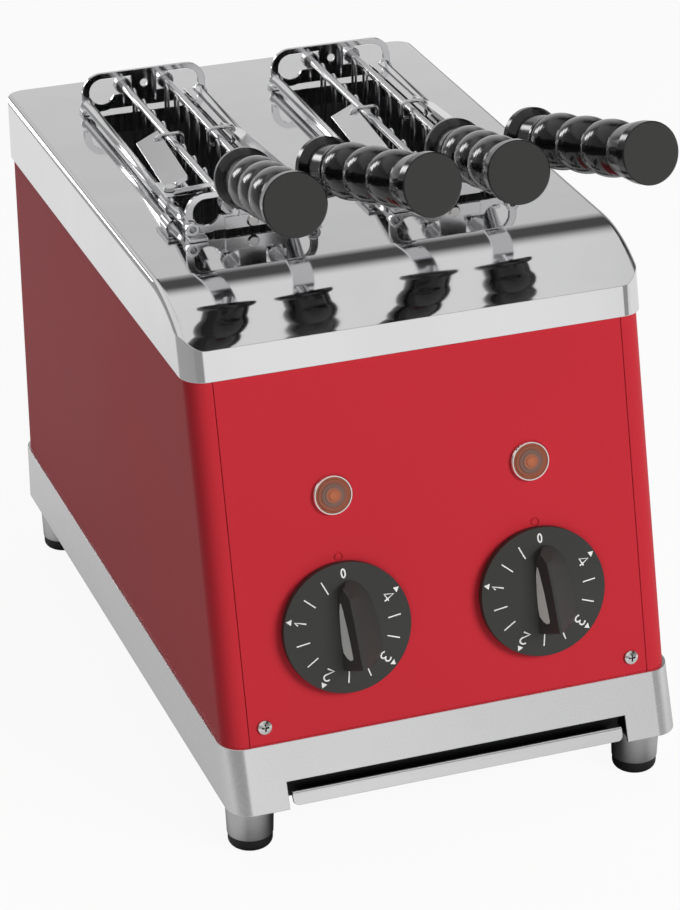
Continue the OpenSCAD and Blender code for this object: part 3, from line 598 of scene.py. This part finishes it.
def wire_mesh(lines, radius, resolution):
    """Mesh of round wires through lists of points; a list that ends where it starts makes a ring."""
    curve = bpy.data.curves.new("wire", "CURVE")
    curve.dimensions = "3D"
    curve.bevel_depth = radius
    curve.bevel_resolution = resolution
    curve.use_fill_caps = True
    for points in lines:
        closed = math.dist(points[0], points[-1]) < SAME_POINT
        kept = points[:-1] if closed else points
        line = curve.splines.new("POLY")
        line.points.add(len(kept) - 1)
        for point, spot in zip(line.points, kept):
            point.co = (*spot, 1)
        line.use_cyclic_u = closed
    return frozen(bpy.data.objects.new("wire", curve))


def joined(parts):
    """One editable mesh of several; the parts themselves go."""
    build = bmesh.new()
    for part in parts:
        build.from_mesh(part)
        bpy.data.meshes.remove(part)
    return build


def finished(build, name, material, place):
    """Mesh with outward faces and one material, moved to its place; the editable mesh goes."""
    bmesh.ops.recalc_face_normals(build, faces=build.faces)
    build.transform(place)
    mesh = bpy.data.meshes.new(name)
    build.to_mesh(mesh)
    build.free()
    mesh.materials.clear()
    mesh.materials.append(material)
    for face in mesh.polygons:
        face.material_index = 0
    return mesh


# strokes of the digits, one unit tall, standing on zero
STROKES = {
    0: [arc(0, 0.5, 0.24, 0.5, 90, 450, 32)],
    1: [[(-0.2, 0.68), (0.03, 1.0), (0.03, 0.0)]],
    2: [arc(0, 0.72, 0.29, 0.28, 165, -38, 18) + [(-0.31, 0.0), (0.33, 0.0)]],
    3: [arc(-0.02, 0.75, 0.26, 0.25, 150, -90, 18) + arc(-0.02, 0.25, 0.30, 0.25, 90, -150, 18)[1:]],
    4: [[(0.16, 0.0), (0.16, 1.0), (-0.34, 0.3), (0.36, 0.3)]],
}


def number_mesh(digit):
    """A printed digit, top outwards, turned round the dial; millimetres in the dial's plane."""
    radius, tall = (NUMBER_R, NUMBER_TALL) if digit else (ZERO_R, ZERO_TALL)
    made = wire_mesh([[(x * tall, (y - 0.5) * tall, 0) for x, y in stroke] for stroke in STROKES[digit]],
                     STROKE_R, resolution=2)
    turn = Matrix.Rotation(STEPS_PER_NUMBER * MARK_STEP * digit, 4, "Z")
    made.transform(turn @ Matrix.Translation((0, radius, 0)) @ Matrix.Diagonal((1, 1, STROKE_FLATNESS, 1)))
    return made


def dial_marks(hand, x):
    """Ticks, arrows and numbers that follow a dial's face."""
    ticks = tick_tree().mesh("ticks", {"Radius": TICK_R, "Length": TICK_LENGTH, "Width": TICK_WIDTH,
                                       "Thickness": PRINT_THICK, "Step": MARK_STEP})
    arrows = arrow_tree().mesh("arrows", {"Radius": ARROW_R, "Reach": ARROW_REACH, "Thickness": PRINT_THICK,
                                          "Step": STEPS_PER_NUMBER * MARK_STEP})
    build = joined([ticks, arrows] + [number_mesh(digit) for digit in STROKES])
    for v in build.verts:
        v.co.z += dial_height(v.co.xy.length) + PRINT_LIFT
    mesh = finished(build, "marks", mark_ink, panel_place(x, DIAL_UP))
    add_piece(f"dial_marks_{hand}", mesh, f"dial_{hand}")


for tong, hand in HANDS:
    dial_marks(hand, tong * DIAL_X)

coils = coil_tree().mesh("coils", {"Length": TUBE_LENGTH * MM, "Coil Radius": COIL_R * MM,
                                   "Wire Radius": COIL_WIRE_R * MM, "Turns": COIL_TURNS, "Slot X": SLOT_X * MM,
                                   "Tube Offset": TUBE_OFF * MM, "Step Z": TUBE_STEP_Z * MM})
coils.transform(Matrix.Translation((0, TUBE_FRONT_Y * MM, TUBE_FIRST_Z * MM)))
add_piece("heater_coils", coils, "housing")


def turned(build, profile, x, z, sides=24):
    """A turned rod along y, from a profile of places and radii that starts and ends on its axis."""
    rings = []
    for y, r in profile:
        turns = [2 * math.pi * i / sides for i in range(sides)] if r else [0.0]
        rings.append([build.verts.new((x + r * math.cos(a), y, z + r * math.sin(a))) for a in turns])
    for low, high in zip(rings, rings[1:]):
        for i in range(sides):
            corners = [low[i % len(low)], low[(i + 1) % len(low)],
                       high[(i + 1) % len(high)], high[i % len(high)]]
            build.faces.new([v for n, v in enumerate(corners) if v not in corners[:n]])


def tong_piece(name, build, tong, material, body, replaced):
    """Turns a mesh in a tong's millimetres into a finished piece."""
    place = Matrix.Scale(MM, 4) @ Matrix.Translation((tong * SLOT_X, SHIFT_Y, COVER_TOP_Z))
    mesh = finished(build, name, material, place)
    mesh.shade_smooth()
    mesh.set_sharp_from_angle(angle=SHARP_EDGE)
    add_piece(name, mesh, body, [replaced])


def wire_grid(tong, side, hand, place):
    """Bent wires, each an arch on the grid rod's inner flank with turned-in feet, and two bars along them."""
    x = GRID_ROD_X - GRID_ROD_D / 2 - WIRE_SEAT - WIRE_D / 2
    crown = arc(0, GRID_ROD_Z - WIRE_CROWN_DROP, WIRE_GAP / 2, WIRE_GAP / 2, 0, 180, 12)
    leg = arc(x - WIRE_FOOT_R, -WIRE_DEPTH, WIRE_FOOT_R, WIRE_FOOT_R, 0, -90, 8)
    leg += [(x - WIRE_FOOT_R - WIRE_FOOT_REACH, -WIRE_DEPTH - WIRE_FOOT_R)]
    path = [(side * px, WIRE_GAP / 2, pz) for px, pz in reversed(leg)]
    path += [(side * x, py, pz) for py, pz in crown]
    path += [(side * px, -WIRE_GAP / 2, pz) for px, pz in leg]
    rows = [WIRE_FIRST_Y + row * WIRE_STEP_Y for row in range(WIRE_ROWS)]
    build = joined(wire_mesh([[(px, py + y, pz) for px, py, pz in path]], WIRE_D / 2, resolution=3) for y in rows)
    over = WIRE_GAP / 2 + WIRE_D / 2
    front, rear, r = rows[0] - over, rows[-1] + over, BAR_D / 2
    for depth in BAR_DEPTHS:
        turned(build, [(front, 0), (front, r), (rear, r), (rear, 0)],
               side * (x + WIRE_D / 2 + WIRE_SEAT + r), -depth, sides=12)
    tong_piece(f"wires_{hand}_{place}", build, tong, wire_steel, f"jaw_{hand}_{place}",
               f"grid_{hand}_{place}")


def grid_rod(tong, side, hand, place):
    """Grid rod with a ring in each bracket's window."""
    r, ring, half = GRID_ROD_D / 2, RING_D / 2, RING_WIDTH / 2
    front, rear = BRACKET_FRONT_Y - ROD_FRONT_REACH, BRACKET_REAR_Y + ROD_REAR_REACH
    profile = [(front, 0), (front, r - ROD_EDGE), (front + ROD_EDGE, r)]
    for y in (BRACKET_FRONT_Y, BRACKET_REAR_Y):
        profile += [(y - half, r), (y - half, ring - RING_EDGE), (y - half + RING_EDGE, ring),
                    (y + half - RING_EDGE, ring), (y + half, ring - RING_EDGE), (y + half, r)]
    profile += [(rear - ROD_EDGE, r), (rear, r - ROD_EDGE), (rear, 0)]
    build = bmesh.new()
    turned(build, profile, side * GRID_ROD_X, GRID_ROD_Z)
    tong_piece(f"jaw_rod_{hand}_{place}", build, tong, wire_steel, f"jaw_{hand}_{place}",
               f"grid_rod_{hand}_{place}")


def frame_rods(tong, hand):
    """Two frame rods, full size in brackets and saddles, turned down between them and bored in front."""
    r, fit, bore = FRAME_ROD_D / 2, FRAME_ROD_FIT_D / 2, FRAME_ROD_BORE / 2
    front, rear = BRACKET_FRONT_Y - FRAME_ROD_FRONT_REACH, BRACKET_REAR_Y + FRAME_ROD_SEAT
    profile = [(front + FRAME_ROD_BORE_DEPTH, 0), (front + FRAME_ROD_BORE_DEPTH, bore), (front, bore)]
    profile += [(front, fit - FRAME_ROD_EDGE), (front + FRAME_ROD_EDGE, fit)]
    profile += [(BRACKET_FRONT_Y + FRAME_ROD_SEAT, fit), (BRACKET_FRONT_Y + FRAME_ROD_SEAT + FRAME_ROD_CONE, r)]
    profile += [(SADDLE_Y - SADDLE_HALF - FRAME_ROD_CONE, r), (SADDLE_Y - SADDLE_HALF, fit)]
    profile += [(SADDLE_Y + SADDLE_HALF, fit), (SADDLE_Y + SADDLE_HALF + FRAME_ROD_CONE, r)]
    profile += [(BRACKET_REAR_Y - FRAME_ROD_SEAT - FRAME_ROD_CONE, r), (BRACKET_REAR_Y - FRAME_ROD_SEAT, fit)]
    profile += [(rear - FRAME_ROD_EDGE, fit), (rear, fit - FRAME_ROD_EDGE), (rear, 0)]
    build = bmesh.new()
    for side in (-1, 1):
        turned(build, profile, side * FRAME_ROD_X, FRAME_ROD_Z)
    tong_piece(f"stepped_rods_{hand}", build, tong, bright, f"tong_{hand}", f"frame_rods_{hand}")


for tong, hand in HANDS:
    frame_rods(tong, hand)
    for side, place in jaws(tong):
        wire_grid(tong, side, hand, place)
        grid_rod(tong, side, hand, place)

# studio: metal mirrors only the floor and the sky, never the lamps
FLOOR_HALF = 6.0
FLOOR_TONE, FLOOR_GLOW, FLOOR_GLOW_SHARE = 0.45, 1.08, 0.86
FOOTPRINT_X, FOOTPRINT_Y = 0.10, 0.165
SKY_CLEAR = 0.08
SOFTBOX = 6.0
TENT, TENT_FALL = 0.86, 0.28
GAP, TOP_GAIN = 0.07, 0.66
SIDE_DROP, RAISED_GAIN = 0.65, 1.4


def studio_floor():
    """White to the camera; to metal, a glow with a painted shadow: dark under the part and near it, and dimmer
    far to the left.
    """
    f = Finish("floor_white")
    glossy = f.ray("Glossy")
    seen = (f.ray("Camera") + glossy + f.ray("Transmission")).at_most(1.0)
    matt = f.add("ShaderNodeBsdfDiffuse", {}, {"Color": grey(FLOOR_TONE)})
    spot = f.add("ShaderNodeNewGeometry", out="Position")
    reach = f.add("ShaderNodeVectorMath", {"operation": "LENGTH"}, {0: spot}, out="Value")
    across = f.part(spot, "X")
    clear = (abs(across) / FOOTPRINT_X).at_least(abs(f.part(spot, "Y")) / FOOTPRINT_Y)
    # painted shadow in what metal mirrors: dark under the part's footprint, lighter with distance from it
    glossy_glow_with_painted_shadow = (0.60 + 0.30 * reach.smooth(0.12, 0.55)) * clear.smooth(0.85, 1.15)
    glossy_glow_with_painted_shadow = glossy_glow_with_painted_shadow * (1 - 0.55 * (0 - across).smooth(0.32, 0.50))
    glow = f.add("ShaderNodeEmission", {}, {"Color": grey(1),
                                            "Strength": FLOOR_GLOW * (1 - glossy) + glossy * glossy_glow_with_painted_shadow})
    shader = f.add("ShaderNodeMixShader", {}, {0: seen * FLOOR_GLOW_SHARE, 1: matt, 2: glow})
    f.add("ShaderNodeOutputMaterial", {}, {"Surface": shader})
    mesh = bpy.data.meshes.new("floor")
    far = FLOOR_HALF
    mesh.from_pydata([(-far, -far, 0), (far, -far, 0), (far, far, 0), (-far, far, 0)], [], [(0, 1, 2, 3)])
    mesh.materials.append(f.owner)
    floor = bpy.data.objects.new("floor", mesh)
    scene.collection.objects.link(floor)


def studio_sky():
    """White to the camera; to metal, a tent with a dim gap below its top and a softbox at the left rear."""
    f = Finish("studio_sky", world=True)
    camera, glossy, through = (f.ray(kind) for kind in ("Camera", "Glossy", "Transmission"))
    ray = f.add("ShaderNodeTexCoord", out="Generated")
    across, depth, height = (f.part(ray, axis) for axis in "XYZ")
    left = 0 - across
    tent = TENT - TENT_FALL * height.smooth(0.22, 0.40)
    dim = height.smooth(0.42, 0.52) * across.smooth(-0.05, 0.12)
    top = GAP + TOP_GAIN * height.smooth(0.64, 0.80)
    raised = height.smooth(0.32, 0.44)
    sides = across.smooth(0.36, 0.48) + left.smooth(0.02, 0.16) * (1 - RAISED_GAIN * raised)
    box = left.smooth(0.22, 0.30) * (1 - left.smooth(0.38, 0.44)) * (1 - height.smooth(0.22, 0.30))
    shine = (tent * (1 - dim) + dim * top) * (1 - SIDE_DROP * sides) + SOFTBOX * box * depth.smooth(0.3, 0.4)
    plain = (1 - glossy) * (1 - camera) * (1 - through)
    level = camera + through + glossy * shine + plain * SKY_CLEAR
    sky = f.add("ShaderNodeBackground", {}, {"Color": grey(1), "Strength": level})
    f.add("ShaderNodeOutputWorld", {}, {"Surface": sky})
    scene.world = f.owner


def lamp(name, at, aim, wide, tall, power):
    light = bpy.data.lights.new(name, "AREA")
    light.shape = "RECTANGLE"
    light.size, light.size_y = wide, tall
    light.energy = power
    holder = bpy.data.objects.new(name, light)
    holder.location = at
    holder.visible_glossy = False
    holder.rotation_euler = (Vector(aim) - Vector(at)).to_track_quat("-Z", "Y").to_euler()
    scene.collection.objects.link(holder)


studio_floor()
studio_sky()
lamp("key_light", at=(1.3, -1.9, 1.1), aim=(0, 0, 0.12), wide=1.2, tall=1.0, power=48)
lamp("fill_light", at=(-0.7, -1.4, 0.4), aim=(-0.04, -0.14, 0.1), wide=0.6, tall=0.6, power=4)
lamp("top_light", at=(0.1, 0.5, 2.0), aim=(0, 0, 0.2), wide=1.4, tall=1.4, power=10)

# camera of the photograph's viewing angle, for a 680 x 910 image
IMAGE_H = 910
SENSOR = 36
FOCAL_PX = 3487.0
CAMERA_AIM = Vector((-3.025, -20.025, 109.37)) * MM
CAMERA_TURN = math.radians(19.343)
CAMERA_DROP = math.radians(26.091)
CAMERA_ROLL = math.radians(-0.79)
CAMERA_AWAY = 1530.0 * MM

forward = Vector((math.sin(CAMERA_TURN) * math.cos(CAMERA_DROP),
                  math.cos(CAMERA_TURN) * math.cos(CAMERA_DROP), -math.sin(CAMERA_DROP)))
upright = forward.to_track_quat("-Z", "Y")
lens = bpy.data.cameras.new("camera")
lens.sensor_width = SENSOR
lens.lens = FOCAL_PX / IMAGE_H * SENSOR
lens.clip_start, lens.clip_end = 0.05, 50
viewer = bpy.data.objects.new("camera", lens)
viewer.location = CAMERA_AIM - forward * CAMERA_AWAY
viewer.rotation_mode = "QUATERNION"
viewer.rotation_quaternion = upright @ Matrix.Rotation(CAMERA_ROLL, 4, "Z").to_quaternion()
scene.collection.objects.link(viewer)
scene.camera = viewer

scene.view_settings.view_transform = "Standard"
